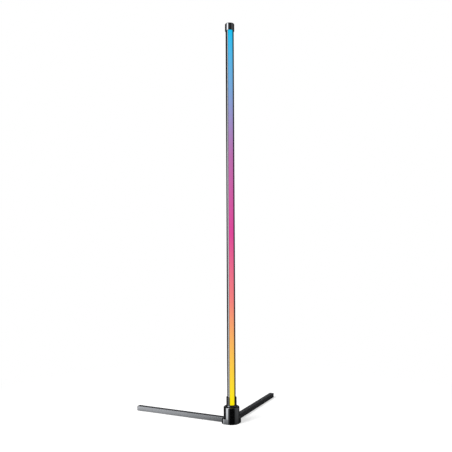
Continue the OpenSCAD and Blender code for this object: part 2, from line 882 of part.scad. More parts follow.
top_cap();
pole_upper();
pole_middle();
pole_lower();
joiner_upper();
joiner_lower();
foot_insert();
joiner_screws();
sleeve_screws();
diffuser();
strip_tape();
led_strip();
led_packages();
strip_drivers();
strip_resistors();
strip_leads();
sleeve();
stop_disc();
spring_washer();
spigot_nut();
glide_ring();
roof_washer();
stop_pin();
hub_shell();
base_plate();
plate_screws();
base_foot();
left_leg();
right_leg();
left_tongue();
right_tongue();
leg_bolts();
tongue_screws();
left_end_plug();
right_end_plug();
left_pad();
right_pad();
power_inlet();
inlet_nut();
inlet_leads();
control_board();
board_screws();
board_chips();
board_capacitor();
board_header();
lead_plug();
plug_leads();
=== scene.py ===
"""Corner floor lamp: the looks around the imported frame.

A slim upright light bar stands in a round hub with two square legs. Everything is in metres in the
frame of the solids: the pole's axis is the Z axis, the floor is z = 0 and -Y is the front.
"""

import math

import bmesh
import bpy
import numpy as np
from mathutils import Matrix, Vector


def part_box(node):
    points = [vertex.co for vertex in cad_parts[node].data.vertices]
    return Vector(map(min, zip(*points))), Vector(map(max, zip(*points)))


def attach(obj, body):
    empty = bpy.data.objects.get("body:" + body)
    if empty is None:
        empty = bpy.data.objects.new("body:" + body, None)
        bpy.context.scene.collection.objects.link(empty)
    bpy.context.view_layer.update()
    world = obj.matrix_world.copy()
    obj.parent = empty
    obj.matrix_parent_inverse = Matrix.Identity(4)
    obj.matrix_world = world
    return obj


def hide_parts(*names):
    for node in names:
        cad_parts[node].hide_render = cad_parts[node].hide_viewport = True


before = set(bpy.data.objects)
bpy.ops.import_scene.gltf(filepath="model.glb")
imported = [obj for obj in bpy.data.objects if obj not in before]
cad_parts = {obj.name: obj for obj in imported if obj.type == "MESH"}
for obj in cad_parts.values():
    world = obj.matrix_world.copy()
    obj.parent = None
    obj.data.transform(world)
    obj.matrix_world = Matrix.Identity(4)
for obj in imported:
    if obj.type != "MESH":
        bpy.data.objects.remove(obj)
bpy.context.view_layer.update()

mm = 0.001

# ---------------------------------------------------------------- sizes, most of them the frame's


def level(node, end):
    """Height of a node's foot (end 0) or top (end 1), to a hundredth of a millimetre."""
    return round(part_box(node)[end].z, 5)


def radius(node):
    """Radius of a round node about the Z axis, to a tenth of a millimetre."""
    low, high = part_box(node)
    return round((high.x - low.x) / 2, 4)


lamp_top = level("top_cap", 1)
cap_foot = level("top_cap", 0)
cap_r = radius("top_cap")
pole_r = radius("pole_middle")
pole_foot = level("pole_lower", 0)
pole_top = level("pole_upper", 1)
joints = [level("pole_middle", 0), level("pole_upper", 0)]
leg_top = level("left_leg", 1)
leg_foot = level("left_leg", 0)
sleeve_foot = level("glide_ring", 1)
flange_top = sleeve_foot + 2.4 * mm

light_turn = math.radians(-10)     # the window's turn from the middle between the legs
leg_angles = {"left": math.radians(135), "right": math.radians(45)}

# ---------------------------------------------------------------- shader maths


mix_low, mix_high, mix_result = 6, 7, 2     # places of the Mix node's colour sockets


class Value:
    """What a node's socket gives. Arithmetic on it adds Math nodes."""

    def __init__(self, finish, socket):
        self.finish = finish
        self.socket = socket

    def maths(self, operation, *numbers):
        """The operation on those numbers, or on this value alone."""
        return self.finish.add("ShaderNodeMath", {"operation": operation},
                               dict(enumerate(numbers or (self,))))

    def __add__(self, other):
        return self.maths("ADD", self, other)

    __radd__ = __add__

    def __sub__(self, other):
        return self.maths("SUBTRACT", self, other)

    def __rsub__(self, other):
        return self.maths("SUBTRACT", other, self)

    def __mul__(self, other):
        return self.maths("MULTIPLY", self, other)

    __rmul__ = __mul__

    def __truediv__(self, other):
        return self.maths("DIVIDE", self, other)

    def __pow__(self, other):
        return self.maths("POWER", self, other)

    def clamped(self):
        """This value, kept between 0 and 1."""
        return self.finish.add("ShaderNodeClamp", {}, {"Value": self})

    def risen(self, start, stop):
        """0 below start and 1 above stop, with a smooth rise between them."""
        return self.finish.add("ShaderNodeMapRange", {"interpolation_type": "SMOOTHSTEP"},
                               {"Value": self, "From Min": start, "From Max": stop})


class Finish:
    """One material, or the world's node tree, while its nodes are made."""

    def __init__(self, name, tree=None):
        if tree is None:
            self.material = bpy.data.materials.new(name)
            self.material.use_nodes = True
            tree = self.material.node_tree
        self.tree = tree
        self.tree.nodes.clear()

    def add(self, kind, settings=None, sockets=None, output=0):
        """Adds a node, makes its settings, fills its sockets and gives one of its outputs."""
        node = self.tree.nodes.new(kind)
        for name, setting in (settings or {}).items():
            if name == "stops":
                fill_ramp(node.color_ramp, setting)
            else:
                setattr(node, name, setting)
        for key, value in (sockets or {}).items():
            if isinstance(value, Value):
                self.tree.links.new(value.socket, node.inputs[key])
            else:
                node.inputs[key].default_value = value
        return Value(self, node.outputs[output]) if node.outputs else None

    def place(self, stretch=(1, 1, 1)):
        """The point on the piece, in its own coordinates, each one times its stretch."""
        here = self.add("ShaderNodeTexCoord", output="Object")
        return self.add("ShaderNodeMapping", sockets={"Vector": here, "Scale": stretch})

    def parts(self, vector):
        """The x, y and z of a vector."""
        apart = self.add("ShaderNodeSeparateXYZ", sockets={"Vector": vector})
        outputs = apart.socket.node.outputs
        return [Value(self, outputs[axis]) for axis in "XYZ"]

    def noise(self, size, detail=2.0, stretch=(1, 1, 1)):
        """Cloudy noise from 0 to 1, whose lumps measure about size."""
        return self.add("ShaderNodeTexNoise", sockets={
            "Vector": self.place(stretch), "Scale": 1 / size, "Detail": detail})

    def between(self, share, low, high):
        """The number low where share is 0 and high where it is 1."""
        return share * (high - low) + low

    def tint(self, share, low, high):
        """The colour low where share is 0 and high where it is 1."""
        return self.add("ShaderNodeMix", {"data_type": "RGBA"},
                        {"Factor": share, mix_low: (*low, 1), mix_high: (*high, 1)}, mix_result)

    def bump(self, height, depth):
        """Normal of a surface that rises by depth where height is 1."""
        return self.add("ShaderNodeBump", sockets={"Height": height, "Distance": depth})

    def surface(self, **sockets):
        """The finished material: a Principled surface with these sockets, _ standing for a space."""
        named = {name.replace("_", " "): value for name, value in sockets.items()}
        shader = self.add("ShaderNodeBsdfPrincipled", sockets=named)
        self.add("ShaderNodeOutputMaterial", sockets={"Surface": shader})
        return self.material


def fill_ramp(ramp, stops):
    """Puts (place, colour) stops in a colour ramp that starts with two."""
    while len(ramp.elements) < len(stops):
        ramp.elements.new(1.0)
    for element, (place, colour) in zip(ramp.elements, stops):
        element.position = place
        element.color = (*colour, 1)


def linear(code):
    """Linear colour of a screen colour such as "#f0a040"."""
    shares = [int(code[i:i + 2], 16) / 255 for i in (1, 3, 5)]
    return tuple(s / 12.92 if s <= 0.04045 else ((s + 0.055) / 1.055) ** 2.4 for s in shares)


# ---------------------------------------------------------------- finishes


def plain(name, colour, roughness=0.5, metal=0.0, grain=0.4 * mm, relief=0.01 * mm, vary=0.12,
          stretch=(1, 1, 1)):
    """A simple finish: its roughness drifts over the grain, and its colour over wider clouds."""
    cloud_size, drift = 12 * grain, 0.15
    finish = Finish(name)
    speck = finish.noise(grain, 3.0, stretch)
    cloud = finish.noise(cloud_size, 2.0, stretch)
    dark = tuple(c * (1 - vary) for c in colour)
    pale = tuple(min(1.0, c * (1 + vary)) for c in colour)
    return finish.surface(
        Base_Color=finish.tint(cloud, dark, pale),
        Roughness=finish.between(speck, roughness * (1 - drift), min(1.0, roughness * (1 + drift))),
        Metallic=metal,
        Normal=finish.bump(speck, relief))


def pole_anodising():
    """Black anodised aluminium with the faint lengthwise lines of the extrusion die."""
    line_size, line_depth, cloud_size = 0.25 * mm, 0.004 * mm, 9 * mm
    finish = Finish("pole_black")
    lines = finish.noise(line_size, 2.0, (1, 1, 0.004))
    cloud = finish.noise(cloud_size, 2.0, (1, 1, 0.3))
    return finish.surface(
        Base_Color=finish.tint(cloud, (0.006, 0.006, 0.007), (0.010, 0.010, 0.011)),
        Roughness=finish.between(lines, 0.07, 0.11),
        Normal=finish.bump(lines, line_depth),
        IOR=1.86)


def enamel(name, dark, pale, smooth, rough, glint):
    """High gloss black with the long faint ripple of a moulded or sprayed skin."""
    ripple_size, ripple_depth, haze_size = 1.6 * mm, 0.003 * mm, 14 * mm
    finish = Finish(name)
    ripple = finish.noise(ripple_size, 1.0)
    haze = finish.noise(haze_size, 3.0)
    return finish.surface(
        Base_Color=finish.tint(haze, dark, pale),
        Roughness=finish.between(haze, smooth, rough),
        Normal=finish.bump(ripple, ripple_depth),
        IOR=glint)


def sleeve_satin():
    """Moulded satin black, polished on the flange at the sleeve's foot."""
    grain_size, grain_depth, haze_size, fade = 0.3 * mm, 0.003 * mm, 8 * mm, 0.3 * mm
    finish = Finish("sleeve_black")
    grain = finish.noise(grain_size, 2.0)
    haze = finish.noise(haze_size, 2.0)
    _, _, height = finish.parts(finish.place())
    wall = height.risen(flange_top, flange_top + fade)
    return finish.surface(
        Base_Color=finish.tint(haze, (0.005, 0.005, 0.006), (0.008, 0.008, 0.009)),
        Roughness=finish.between(grain, 0.30, 0.38),
        Coat_Weight=1 - wall,
        Coat_Roughness=0.06,
        Coat_IOR=1.8,
        Normal=finish.bump(grain, grain_depth),
        Specular_IOR_Level=0.22)


def powder_coat():
    """Satin black powder coat: fine even pebbles."""
    pebble_size, pebble_depth, cloud_size = 0.5 * mm, 0.006 * mm, 22 * mm
    finish = Finish("leg_satin")
    pebbles = finish.noise(pebble_size, 2.0)
    cloud = finish.noise(cloud_size, 2.0)
    return finish.surface(
        Base_Color=finish.tint(cloud, (0.011, 0.011, 0.012), (0.017, 0.017, 0.019)),
        Roughness=finish.between(cloud, 0.25, 0.3),
        Normal=finish.bump(pebbles, pebble_depth),
        IOR=1.75)


glow_stops = [                      # height above the floor in metres, colour of the lit window
    (0.055, "#ffec00"),
    (0.15, "#fed141"),
    (0.36, "#f5827f"),
    (0.56, "#df4899"),
    (0.79, "#bb6fae"),
    (1.00, "#77a7d8"),
    (1.175, "#18c0f2"),
]
glow_share = 0.82                   # of the window's colour is light from inside
painted_glow_share = 0.16                  # of it is painted into the frosted plastic's base colour: painted light, the inner glow's colours
frost_size, frost_depth = 0.2 * mm, 0.01 * mm
window_x = 7.2 * mm                 # half the window's width
rim_width, rim_loss = 1.3 * mm, 0.8     # less light comes out along the window's two sides


def lit_frost():
    """Frosted window, lit from behind: yellow at the foot, magenta in the middle, blue on top."""
    finish = Finish("diffuser_frost")
    foot, head = glow_stops[0][0], glow_stops[-1][0]
    x, y, height = finish.parts(finish.place())
    stops = [((z - foot) / (head - foot), linear(code)) for z, code in glow_stops]
    colour = finish.add("ShaderNodeValToRGB", {"stops": stops},
                        {"Fac": (height - foot) / (head - foot)})
    frost = finish.noise(frost_size, 2.0)
    across = (x * math.cos(light_turn) + y * math.sin(light_turn)).maths("ABSOLUTE")
    rim = across.risen(window_x - rim_width, window_x)

    def share(amount):
        """The window's colour, times amount."""
        return finish.add("ShaderNodeVectorMath", {"operation": "SCALE"},
                          {0: colour, "Scale": amount})

    return finish.surface(
        # painted light: the base colour takes the glow's colours, which the frosted plastic shows
        # only while lit from inside
        Base_Color=share(finish.between(frost, painted_glow_share * 0.94, painted_glow_share)),
        Roughness=finish.between(frost, 0.55, 0.7),
        Normal=finish.bump(frost, frost_depth),
        Specular_IOR_Level=0.05,
        Emission_Color=share(1 - rim * rim_loss),
        Emission_Strength=glow_share)


finishes = {
    "cap_gloss": enamel("cap_gloss", (0.005, 0.005, 0.006), (0.008, 0.008, 0.009),
                        smooth=0.05, rough=0.09, glint=2.12),
    "pole_black": pole_anodising(),
    "insert_alloy": plain("insert_alloy", (0.62, 0.63, 0.64), 0.42, 1.0, 0.3 * mm, 0.01 * mm, 0.06,
                          (1, 1, 0.02)),
    "screw_black": plain("screw_black", (0.05, 0.05, 0.052), 0.38, 1.0, 0.15 * mm),
    "diffuser_frost": lit_frost(),
    "tape_film": plain("tape_film", (0.62, 0.46, 0.20), 0.55),
    "strip_white": plain("strip_white", (0.85, 0.85, 0.82), 0.45, vary=0.03),
    "chip_cream": plain("chip_cream", (0.88, 0.85, 0.66), 0.3, vary=0.03),
    "chip_black": plain("chip_black", (0.02, 0.02, 0.022), 0.5, grain=0.1 * mm),
    "lead_red": plain("lead_red", (0.50, 0.03, 0.02), 0.4, vary=0.05),
    "lead_black": plain("lead_black", (0.02, 0.02, 0.02), 0.4, vary=0.05),
    "sleeve_black": sleeve_satin(),
    "hub_gloss": enamel("hub_gloss", (0.001, 0.001, 0.0012), (0.002, 0.002, 0.0024),
                        smooth=0.04, rough=0.07, glint=1.97),
    "leg_satin": powder_coat(),
    "steel_bright": plain("steel_bright", (0.60, 0.61, 0.62), 0.32, 1.0, 0.5 * mm, 0.004 * mm, 0.08),
    "glide_black": plain("glide_black", (0.02, 0.02, 0.022), 0.35),
    "rubber_black": plain("rubber_black", (0.022, 0.022, 0.023), 0.85, grain=0.2 * mm,
                          relief=0.03 * mm),
    "plug_black": plain("plug_black", (0.016, 0.016, 0.017), 0.42, grain=0.25 * mm),
    "board_green": plain("board_green", (0.02, 0.13, 0.05), 0.3, grain=1.2 * mm),
    "capacitor_sleeve": plain("capacitor_sleeve", (0.05, 0.06, 0.09), 0.25),
    "connector_cream": plain("connector_cream", (0.80, 0.77, 0.66), 0.45, vary=0.04),
}

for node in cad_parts.values():
    for slot in node.material_slots:
        slot.material = finishes[slot.material.name.split(".")[0]]

# ---------------------------------------------------------------- surfaces


def net(rows, columns, round_off):
    """Quads of a grid of points, row by row; round_off joins the last column to the first."""
    i, j = np.meshgrid(np.arange(rows - 1), np.arange(columns if round_off else columns - 1),
                       indexing="ij")
    k = (j + 1) % columns
    quads = [i * columns + j, i * columns + k, (i + 1) * columns + k, (i + 1) * columns + j]
    return np.stack(quads, -1).reshape(-1, 4)


def arc(x, y, r, start, stop, steps):
    """Points (x + r cos t, y + r sin t), with t running evenly from start to stop."""
    t = np.linspace(start, stop, steps + 1)
    return np.stack([x + r * np.cos(t), y + r * np.sin(t)], -1)


def bearing(point):
    """Angle of a point of a section, seen from the axis."""
    return math.atan2(point[1], point[0])


def softened(corners, steps=6):
    """Closed outline through corners (x, y, r), each one rounded by an arc of its r.

    From a corner the two sides leave in unit directions a and b. With h half the angle between
    them, the arc's centre lies on their bisector at r / sin h, and the arc meets the sides at
    r / tan h from the corner.
    """
    corners = np.array(corners, float)
    place, r = corners[:, :2], corners[:, 2:]
    a = np.roll(place, 1, 0) - place
    b = np.roll(place, -1, 0) - place
    a /= np.hypot(*a.T)[:, None]
    b /= np.hypot(*b.T)[:, None]
    h = np.arccos(np.clip((a * b).sum(1), -1, 1))[:, None] / 2
    middle = a + b
    centre = place + middle / np.hypot(*middle.T)[:, None] * r / np.sin(h)
    from_a = place + a * r / np.tan(h) - centre
    from_b = place + b * r / np.tan(h) - centre
    start = np.arctan2(from_a[:, 1], from_a[:, 0])[:, None]
    turn = np.arctan2(from_b[:, 1], from_b[:, 0])[:, None] - start
    turn = (turn + np.pi) % (2 * np.pi) - np.pi
    t = start + turn * np.linspace(0, 1, steps + 1)
    points = centre[:, None] + r[:, :, None] * np.stack([np.cos(t), np.sin(t)], -1)
    return without_repeats(points.reshape(-1, 2))


def without_repeats(outline):
    """The closed outline with each run of equal points cut down to one."""
    step = outline - np.roll(outline, 1, 0)
    return outline[np.hypot(*step.T) > weld]


def lathe(profile, steps=160):
    """Turned shell: the closed profile (r, z) carried round Z gives (r cos t, r sin t, z)."""
    t = np.linspace(0, 2 * np.pi, steps + 1)[:-1]
    ring = np.vstack([profile, profile[:1]])
    r, z = ring[:, :1], ring[:, 1:]
    points = np.stack([r * np.cos(t), r * np.sin(t), z + 0 * t], -1)
    return points.reshape(-1, 3), net(len(ring), steps, True)


def drawn(outline, levels):
    """Wall drawn along Z: at each level (z, inset) the outline stands moved by inset to its left.

    A counter-clockwise outline so has its material on the left, and a hole runs clockwise.
    """
    ahead = np.roll(outline, -1, 0) - np.roll(outline, 1, 0)
    left = np.stack([-ahead[:, 1], ahead[:, 0]], -1) / np.hypot(*ahead.T)[:, None]
    z, inset = np.array(levels, float).T
    flat = outline + inset[:, None, None] * left
    height = np.broadcast_to(z[:, None, None], (*flat.shape[:2], 1))
    return np.concatenate([flat, height], -1).reshape(-1, 3), net(len(z), len(outline), True)


def rounded_end(top, r):
    """Levels (z, inset) of a quarter round: (top - r + r sin u, r - r cos u) up to u = 90 degrees."""
    u = np.linspace(0, math.pi / 2, 6)
    return zip(top - r + r * np.sin(u), r * (1 - np.cos(u)))


def made(name, parts, lay=None):
    """A closed mesh of the parts, their open ends filled level by level, laid by the matrix lay."""
    points = np.vstack([part[0] for part in parts])
    starts = np.cumsum([0] + [len(part[0]) for part in parts[:-1]])
    faces = np.vstack([part[1] + start for part, start in zip(parts, starts)])
    mesh = bpy.data.meshes.new(name)
    mesh.from_pydata(points.tolist(), [], faces.tolist())
    shell = bmesh.new()
    shell.from_mesh(mesh)
    bmesh.ops.remove_doubles(shell, verts=shell.verts, dist=weld)
    rims = {}
    for edge in shell.edges:
        if edge.is_boundary:
            rims.setdefault(round(edge.verts[0].co.z / weld), []).append(edge)
    for rim in rims.values():
        bmesh.ops.triangle_fill(shell, use_beauty=True, edges=rim)
    bmesh.ops.recalc_face_normals(shell, faces=shell.faces)
    shell.to_mesh(mesh)
    shell.free()
    if lay is not None:
        mesh.transform(lay)
    piece = bpy.data.objects.new(name, mesh)
    bpy.context.collection.objects.link(piece)
    return piece


def cut(piece, operation, *tools):
    """Takes the tools' shapes out of the piece, or adds them, then removes the tools."""
    for tool in tools:
        change = piece.modifiers.new("cut", "BOOLEAN")
        change.operation = operation
        change.object = tool
        change.solver = "EXACT"
    bpy.context.view_layer.update()
    whole = piece.evaluated_get(bpy.context.evaluated_depsgraph_get())
    mesh = bpy.data.meshes.new_from_object(whole)
    piece.modifiers.clear()
    piece.data = mesh
    for tool in tools:
        bpy.data.objects.remove(tool)


def dress(piece, body, slot, *nodes):
    """Gives a piece its finish, its smooth shading with crisp edges, its body and its nodes."""
    mesh = piece.data
    mesh.materials.clear()
    mesh.materials.append(finishes[slot])
    mesh.polygons.foreach_set("use_smooth", np.ones(len(mesh.polygons), bool))
    mesh.set_sharp_from_angle(angle=crisp_angle)
    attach(piece, body)
    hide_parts(*nodes)


def rod(r, start, stop, lay):
    """Round bar of radius r from start to stop along its own axis, for cutting holes."""
    return made("rod", [drawn(arc(0, 0, r, 0, 2 * np.pi, 40)[:-1], [(start, 0), (stop, 0)])], lay)


weld = 1e-6                         # points closer than this are one
crisp_angle = math.radians(32)      # edges that turn more stay crisp
turned = Matrix.Rotation(light_turn, 4, "Z")
along_back = Matrix.Rotation(-math.pi / 2, 4, "X")      # lays a piece's own axis along +Y

# ---------------------------------------------------------------- the light

bore_r = 11.1 * mm                  # inside of the pole
slot_x = 7.3 * mm                   # half the width of the pole's slot for the window
seat_y = -3 * mm                    # front of the web that carries the light strip
chamber_y = -1.4 * mm               # back of that web
screw_hole_r = 1.55 * mm
screw_from_joint = 21 * mm
sleeve_screws = (pole_foot + 6 * mm, 71 * mm)
section_edge = 0.15 * mm            # bevel of a pole length's cut ends
spare = 2 * mm                      # how far a cutting rod stands past the wall on both sides


def on_circle(r, x):
    """The point of the front half of a circle of radius r that lies x to the side."""
    return x, -math.sqrt(r ** 2 - x ** 2)


def mirrored(right):
    """Closed outline from its right half, which starts and ends on the middle line."""
    return without_repeats(np.vstack([right, right[::-1] * (-1, 1)]))


def slotted_outline(outer_r, inner_r, start, lip, nose):
    """Ring with a slot at the front, its lips rounded by lip outside and by nose inside.

    The rounding of radius q where a circle of radius r meets the slot's side has its centre q from
    that side, and r - q from the axis outside or r + q inside. The inner circle is used in front of
    the angle start, and a straight web joins its two ends.
    """
    outer = on_circle(outer_r - lip, slot_x + lip)
    inner = on_circle(inner_r + nose, slot_x + nose)
    return mirrored(np.vstack([
        [(0, inner_r * math.sin(start))],
        arc(0, 0, inner_r, start, bearing(inner), 48),
        arc(*inner, nose, bearing(inner) + math.pi, math.pi, 5),
        arc(*outer, lip, math.pi, bearing(outer) + 2 * math.pi, 8),
        arc(0, 0, outer_r, bearing(outer), math.pi / 2, 72)]))


def back_holes(levels, inner_r, outer_r):
    """Rods for the screw holes in a round wall's back, at those levels."""
    return [rod(screw_hole_r, inner_r - spare, outer_r + spare,
                turned @ Matrix.Translation((0, 0, z)) @ along_back) for z in levels]


def pole_length(node, foot, top, screws):
    """One drawn length of the pole: slotted tube with a web, and behind the web a hollow."""
    lip, nose = 0.45 * mm, 0.25 * mm
    outline = slotted_outline(pole_r, bore_r, math.asin(seat_y / bore_r), lip, nose)
    side = math.asin(chamber_y / bore_r)
    chamber = arc(0, 0, bore_r, math.pi - side, side, 72)
    ends = [(foot, section_edge), (foot + section_edge, 0),
            (top - section_edge, 0), (top, section_edge)]
    piece = made(node + "_tube", [drawn(outline, ends), drawn(chamber, ends)], turned)
    cut(piece, "DIFFERENCE", *back_holes(screws, bore_r, pole_r))
    dress(piece, "pole", "pole_black", node)


def make_pole():
    """The pole's three lengths, with holes for the screws of the sleeve and of the two joints."""
    low, high = joints
    pole_length("pole_lower", pole_foot, low, (*sleeve_screws, low - screw_from_joint))
    pole_length("pole_middle", low, high, (low + screw_from_joint, high - screw_from_joint))
    pole_length("pole_upper", high, pole_top, (high + screw_from_joint,))


def make_diffuser():
    """Curved window: outside it follows the pole, and two hooks reach behind the pole's lips."""
    front_r, hook_r, inner_r = pole_r - 0.15 * mm, 10.95 * mm, 9.65 * mm
    hook_x, edge = 8.6 * mm, 0.5 * mm
    corner = on_circle(front_r - edge, window_x - edge)
    outline = mirrored(np.vstack([
        arc(0, 0, front_r, -math.pi / 2, bearing(corner), 24),
        arc(*corner, edge, bearing(corner), 0, 6),
        arc(0, 0, hook_r, bearing(on_circle(hook_r, window_x)),
            bearing(on_circle(hook_r, hook_x)), 4),
        arc(0, 0, inner_r, bearing(on_circle(inner_r, hook_x)), -math.pi / 2, 24)]))
    piece = made("diffuser_window", [drawn(outline, [(pole_foot, 0), (pole_top, 0)])], turned)
    dress(piece, "pole", "diffuser_frost", "diffuser")


def make_cap():
    """Turned cup with a rounded crown, slipped over the pole, and its plug behind the web.

    Two more rings on the slight dome keep its shading apart from the crown's.
    """
    inside = 12.65 * mm
    crown, dome = 2.8 * mm, 0.25 * mm
    plug_gap, plug_depth, taper = 0.15 * mm, 10 * mm, 0.4 * mm
    rings = [(r, lamp_top - dome * r / cap_r, 0) for r in (cap_r - 1.2 * crown, cap_r / 2)]
    profile = softened([
        (inside, cap_foot, 0.2 * mm), (cap_r, cap_foot, 0.35 * mm),
        (cap_r, lamp_top - dome, crown), *rings, (0, lamp_top, 0),
        (0, pole_top, 0), (inside, pole_top, 0.3 * mm)], 14)
    plug_r, plug_y = bore_r - plug_gap, chamber_y + plug_gap
    side = math.asin(plug_y / plug_r)
    plug = drawn(arc(0, 0, plug_r, side, math.pi - side, 72),
                 [(pole_top - plug_depth, taper), (pole_top - plug_depth + taper, 0), (pole_top, 0)])
    dress(made("cap_cup", [lathe(profile), plug], turned), "pole", "cap_gloss", "top_cap")


def make_sleeve():
    """Slotted wall with a softened top edge on a turned foot: sill, rounded flange and spigot."""
    flange_r = radius("sleeve")
    wall_r, inside = 15.3 * mm, 12.65 * mm
    sill_r = wall_r - 0.02 * mm
    foot, top = sleeve_foot, 76 * mm
    spigot_foot, spigot_r, wire_way_r = level("sleeve", 0), 6 * mm, 4 * mm
    lip, nose, edge, sunk = 0.5 * mm, 0.4 * mm, 0.5 * mm, 0.5 * mm
    ends = [(foot + sunk, 0), *rounded_end(top, edge)]
    wall = slotted_outline(wall_r, inside, math.pi / 2, lip, nose)
    profile = softened([
        (wire_way_r, spigot_foot, 0.2 * mm), (spigot_r, spigot_foot, 0.4 * mm),
        (spigot_r, foot, 0.1 * mm), (flange_r, foot, 0.2 * mm), (flange_r, flange_top, 0.8 * mm),
        (sill_r, flange_top, 0.25 * mm), (sill_r, pole_foot, 0.35 * mm),
        (wire_way_r, pole_foot, 0.2 * mm)], 8)
    piece = made("sleeve_cup", [lathe(profile)], turned)
    cut(piece, "UNION", made("wall", [drawn(wall, ends)], turned))
    cut(piece, "DIFFERENCE", *back_holes(sleeve_screws, inside, wall_r))
    dress(piece, "pole", "sleeve_black", "sleeve")


# ---------------------------------------------------------------- the legs' ends and the rubber

leg_width, leg_height = 15 * mm, leg_top - leg_foot
leg_reach, leg_wall, leg_corner = 329 * mm, 1.5 * mm, 0.9 * mm
plug_flange = 1.5 * mm


def bar(width, height, r):
    """Outline of a bar that stands on y = 0, with rounded corners."""
    x = width / 2
    return softened([(-x, 0, r), (x, 0, r), (x, height, r), (-x, height, r)])


def lay_on_leg(angle):
    """Lays a piece's own Z along the leg, its X across and its Y upward."""
    along = Vector((math.cos(angle), math.sin(angle), 0))
    up = Vector((0, 0, 1))
    turn = Matrix((up.cross(along), up, along)).transposed().to_4x4()
    return Matrix.Translation((0, 0, leg_foot)) @ turn


def make_end_plug(side, angle):
    """Plug of a leg: a flange with a pillowed outer face, and a shank that fills the tube."""
    face = leg_reach - plug_flange
    bevel, pillow = 0.12 * mm, 0.6 * mm
    gap, shank_length, taper, sunk, corner_r = 0.05 * mm, 12 * mm, 0.4 * mm, 0.5 * mm, 0.4 * mm
    ends = [(face, bevel), (face + bevel, 0), *rounded_end(leg_reach, pillow)]
    shank = bar(leg_width - 2 * (leg_wall + gap), leg_height - 2 * (leg_wall + gap), corner_r)
    shank = shank + (0, leg_wall + gap)
    depth = [(face - shank_length, taper), (face - shank_length + taper, 0), (face + sunk, 0)]
    piece = made(side + "_plug", [drawn(bar(leg_width, leg_height, leg_corner), ends)],
                 lay_on_leg(angle))
    cut(piece, "UNION", made("shank", [drawn(shank, depth)], lay_on_leg(angle)))
    dress(piece, "base", "plug_black", side + "_end_plug")


def rubber_levels(foot, top):
    """Levels (z, inset) of a rubber pad with a softened edge where it meets the floor."""
    return [(foot, 0.25 * mm), (foot + 0.1 * mm, 0.08 * mm), (foot + 0.25 * mm, 0), (top, 0)]


def make_pad(side, angle):
    """Rubber pad under a leg's end."""
    low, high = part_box("base_foot")
    length, width, from_end, corner_r = 24 * mm, 11 * mm, 6 * mm, 2 * mm
    outline = softened([(0, -width / 2, corner_r), (length, -width / 2, corner_r),
                        (length, width / 2, corner_r), (0, width / 2, corner_r)])
    outline = outline + (leg_reach - from_end - length, 0)
    piece = made(side + "_rubber", [drawn(outline, rubber_levels(low.z, high.z))],
                 Matrix.Rotation(angle, 4, "Z"))
    dress(piece, "base", "rubber_black", side + "_pad")


def make_foot():
    """Rubber pad under the hub, round in front, with three shallow rings cut in its underside."""
    front, back, corner_r = 23.2 * mm, 24.5 * mm, 11.5 * mm
    ring_half, ring_depth = 0.6 * mm, 0.3 * mm
    outline = softened([(-front, -front, front), (back, -front, corner_r),
                        (back, back, corner_r), (-front, back, corner_r)], 24)
    piece = made("foot_rubber", [drawn(outline, rubber_levels(0, level("base_foot", 1)))],
                 Matrix.Rotation(leg_angles["right"], 4, "Z"))
    grooves = [made("groove", [lathe(np.array([
        (ring_r - ring_half, -ring_depth), (ring_r + ring_half, -ring_depth),
        (ring_r + ring_half, 0), (ring_r, ring_depth), (ring_r - ring_half, 0)]))])
        for ring_r in (8 * mm, 14 * mm, 20 * mm)]
    cut(piece, "DIFFERENCE", *grooves)
    dress(piece, "base", "rubber_black", "base_foot")


make_pole()
make_diffuser()
make_cap()
make_sleeve()
for leg_side, leg_angle in leg_angles.items():
    make_end_plug(leg_side, leg_angle)
    make_pad(leg_side, leg_angle)
make_foot()

# ---------------------------------------------------------------- camera

picture_px = 452                    # width and height of the photograph
sensor_width = 36                   # in millimetres, as Blender counts it
# the rest was fitted to outlines measured in the photograph
focal_px = 561.96
camera_distance = 1.6846
camera_angle = math.radians(-109.8159)
camera_height = 0.4952
aim_angle = math.radians(70.6548)
aim_pitch = math.radians(2.9305)
aim_roll = math.radians(-0.2674)


def make_camera():
    """The camera at the photograph's viewing angle."""
    data = bpy.data.cameras.new("camera")
    data.sensor_width = sensor_width
    data.lens = focal_px / picture_px * sensor_width
    camera = bpy.data.objects.new("camera", data)
    place = Vector((math.cos(camera_angle), math.sin(camera_angle), 0)) * camera_distance
    place.z = camera_height
    camera.matrix_world = (Matrix.Translation(place)
                           @ Matrix.Rotation(aim_angle - math.pi / 2, 4, "Z")
                           @ Matrix.Rotation(math.pi / 2 + aim_pitch, 4, "X")
                           @ Matrix.Rotation(aim_roll, 4, "Z"))
    bpy.context.collection.objects.link(camera)
    bpy.context.scene.camera = camera


make_camera()

# ---------------------------------------------------------------- studio

box_distance = 2.6                  # of the two soft boxes from the point that they face
box_size = 1.1
box_aim = Vector((0, 0, 0.3))
key_side = math.radians(-50)        # angles from the camera's direction, minus to its left
key_rise = math.radians(38)
key_power = 62
fill_side = math.radians(70)
fill_rise = math.radians(30)
fill_power = 14
room_level = 0.32                   # grey of the room that lights the shadows

floor_size = 8.0
floor_colour = (0.8, 0.8, 0.8, 1)
floor_lift = 0.46                   # the floor's own light, which keeps its shadows pale
fade_start, fade_stop = 0.4, 1.0    # from the axis, where the floor fades into the white
hub_r = 23.7 * mm                   # of the block's round front, where the shade starts
hub_shade, hub_shade_reach = 0.6, 80 * mm
leg_shade, leg_shade_reach = 0.62, 28 * mm

tent_r = 4.0
tent_columns, tent_rows = 72, 25
tent_rise = 1.5                     # angle from the horizon at which the tent ends, up and down
tent_tint = (0.965, 1, 1.045, 1)
# each panel's start, stop and softness, in degrees from the camera's direction, minus to its left,
# and where it leans, how many degrees its start and its stop move each metre up
inner_panel = (-83, -47.6, 4.5, 4.2, 3.2)
outer_panel = (-92.5, -60, 4)
skirt_panel = (-80, -24, 10, 6.2, 6.2)
dim_panel = (46, 112, 14, -4.5, -4.5)
back_panels = [(-180, -150, 8), (150, 180, 8)]
tail_panel = (100, 175, 10)
